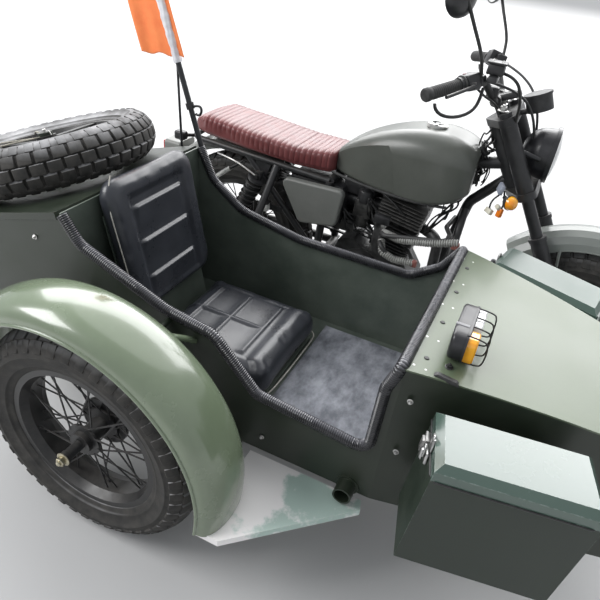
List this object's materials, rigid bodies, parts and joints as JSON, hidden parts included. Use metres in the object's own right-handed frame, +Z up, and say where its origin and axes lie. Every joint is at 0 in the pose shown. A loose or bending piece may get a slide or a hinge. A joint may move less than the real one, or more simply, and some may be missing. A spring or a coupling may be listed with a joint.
{
  "type": "sidecar motorcycle",
  "caption": "Roadster motorcycle with a flat-panelled open sidecar on its right, tool boxes, trunk with spare wheel, and wire wheels that turn.",
  "frame": {"origin": "on the ground under the middle of the whole vehicle's box", "axes": "+X forward, +Y to the rider's left, +Z up; the sidecar is on the right"},
  "size_m": [2.286, 1.7076, 1.4543],
  "materials": {
    "olive_paint": "semi-gloss olive drab",
    "box_green": "satin dark green",
    "tank_paint": "matt grey-olive",
    "black_paint": "gloss black",
    "engine_metal": "cast, weathered",
    "steel": "worn",
    "bright": "polished",
    "step_metal": "scuffed bare plate",
    "tyre": "matt",
    "rubber": "matt ribbed",
    "mat": "worn",
    "bench_vinyl": "oxblood vinyl",
    "car_vinyl": "black vinyl",
    "clear": "clear",
    "amber": "moulded",
    "red_lens": "moulded",
    "black_plastic": "moulded",
    "cloth": "woven"
  },
  "bodies": {
    "chassis": {"swinging_arm": "black_paint", "bike_frame": "black_paint", "engine_block": "engine_metal", "cylinder": "engine_metal", "exhaust": "black_paint", "fuel_tank": "tank_paint", "filler_cap": "bright", "bench_seat": "bench_vinyl", "side_covers": "tank_paint", "rear_fender": "tank_paint", "sidecar_frame": "black_paint", "sidecar_links": "black_paint", "axles": "steel", "trailing_arm": "black_paint", "shocks": "black_paint", "tub_right_panel": "olive_paint", "tub_left_panel": "olive_paint", "hood": "olive_paint", "tub_floor": "olive_paint", "cockpit_trim": "rubber", "seat_back": "car_vinyl", "seat_cushion": "car_vinyl", "seat_frame": "olive_paint", "floor_mat": "mat", "sidecar_fender": "olive_paint", "step_plate": "step_metal", "tool_boxes": "box_green", "hood_lamp_lens": "amber", "hood_lamp": "black_plastic", "flag_pole": "black_paint", "flag": "cloth", "chain": "steel", "foot_controls": "black_paint", "tail_lamp": "red_lens", "rear_signals": "amber", "box_latches": "bright"},
    "steering": {"steering_yokes": "black_paint", "fork_legs": "black_paint", "front_axle": "steel", "front_fender": "tank_paint", "handlebar": "black_paint", "grips": "rubber", "mirrors": "black_plastic", "headlamp": "black_paint", "headlamp_lens": "clear", "gauge": "black_plastic", "front_signals": "amber", "control_cables": "rubber"},
    "front_wheel": {"front_tyre": "tyre", "front_wheel_rim": "black_paint"},
    "rear_wheel": {"rear_tyre": "tyre", "rear_wheel_rim": "black_paint"},
    "sidecar_wheel": {"sidecar_tyre": "tyre", "sidecar_wheel_rim": "black_paint"},
    "right_lid": {"right_box_lid": "box_green"},
    "left_lid": {"left_box_lid": "box_green"},
    "trunk": {"trunk_lid": "olive_paint", "spare_tyre": "tyre", "spare_wheel_rim": "black_paint"}
  },
  "joints": [
    {"name": "steering_turn", "type": "hinge", "parent": "chassis", "child": "steering", "pos_m": [0.4979, 0.4742, 0.76398], "axis": [-0.515, 0, 0.8572], "range_deg": [-30, 30]},
    {"name": "front_wheel_spin", "type": "hinge", "parent": "steering", "child": "front_wheel", "pos_m": [0.823, 0.4742, 0.32], "axis": [0, 1, 0], "continuous": true},
    {"name": "rear_wheel_spin", "type": "hinge", "parent": "chassis", "child": "rear_wheel", "pos_m": [-0.526, 0.4742, 0.32], "axis": [0, 1, 0], "continuous": true},
    {"name": "sidecar_wheel_spin", "type": "hinge", "parent": "chassis", "child": "sidecar_wheel", "pos_m": [-0.266, -0.7498, 0.32], "axis": [0, 1, 0], "continuous": true},
    {"name": "right_lid_hinge", "type": "hinge", "parent": "chassis", "child": "right_lid", "pos_m": [0.83514, -0.60033, 0.6142], "axis": [-0.213, 0.977, 0], "range_deg": [0, 100]},
    {"name": "left_lid_hinge", "type": "hinge", "parent": "chassis", "child": "left_lid", "pos_m": [0.83514, 0.11673, 0.6142], "axis": [0.213, 0.977, 0], "range_deg": [0, 100]},
    {"name": "trunk_hinge", "type": "hinge", "parent": "chassis", "child": "trunk", "pos_m": [-1.00174, -0.2418, 0.61138], "axis": [0, -1, 0], "range_deg": [0, 70]}
  ]
}
